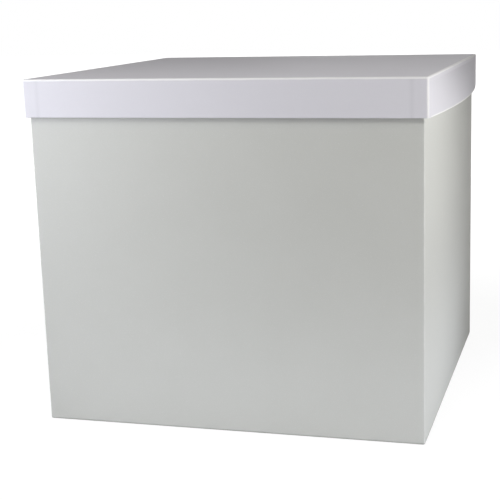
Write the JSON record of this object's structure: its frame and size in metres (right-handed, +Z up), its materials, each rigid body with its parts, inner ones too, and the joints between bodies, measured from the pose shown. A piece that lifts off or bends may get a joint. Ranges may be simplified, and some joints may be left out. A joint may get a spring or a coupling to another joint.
{
  "type": "wedding card box",
  "caption": "Square paper-wrapped board box with slightly bowed walls and a shallow lift-off lid, for collecting greeting cards at a wedding reception.",
  "frame": {"origin": "on the floor, under the middle of the closed box", "axes": "+Z up, the way the lid lifts; +X to the right of someone facing the front; the front faces -Y"},
  "size_m": [0.3226, 0.3066, 0.2689],
  "materials": {
    "grey_board": "matte",
    "pearl_cover_paper": "satin pearl",
    "white_cover_paper": "semi-gloss",
    "liner_paper": "matte",
    "base_paper": "matte",
    "stay_tape": "matte"
  },
  "bodies": {
    "box": {"base_board": "grey_board", "front_wall_board": "grey_board", "back_wall_board": "grey_board", "left_wall_board": "grey_board", "right_wall_board": "grey_board", "front_left_stay": "stay_tape", "front_right_stay": "stay_tape", "back_left_stay": "stay_tape", "back_right_stay": "stay_tape", "body_wrap": "pearl_cover_paper", "base_sheet": "base_paper", "wall_liner": "liner_paper", "base_liner": "liner_paper"},
    "lid": {"lid_top_board": "grey_board", "lid_front_rim_board": "grey_board", "lid_back_rim_board": "grey_board", "lid_left_rim_board": "grey_board", "lid_right_rim_board": "grey_board", "lid_front_left_stay": "stay_tape", "lid_front_right_stay": "stay_tape", "lid_back_left_stay": "stay_tape", "lid_back_right_stay": "stay_tape", "lid_wrap": "white_cover_paper", "lid_liner": "liner_paper"}
  },
  "joints": [
    {"name": "lid_lift", "type": "slide", "parent": "box", "child": "lid", "axis": [0, 0, 1], "range_m": [0, 0.2]}
  ]
}
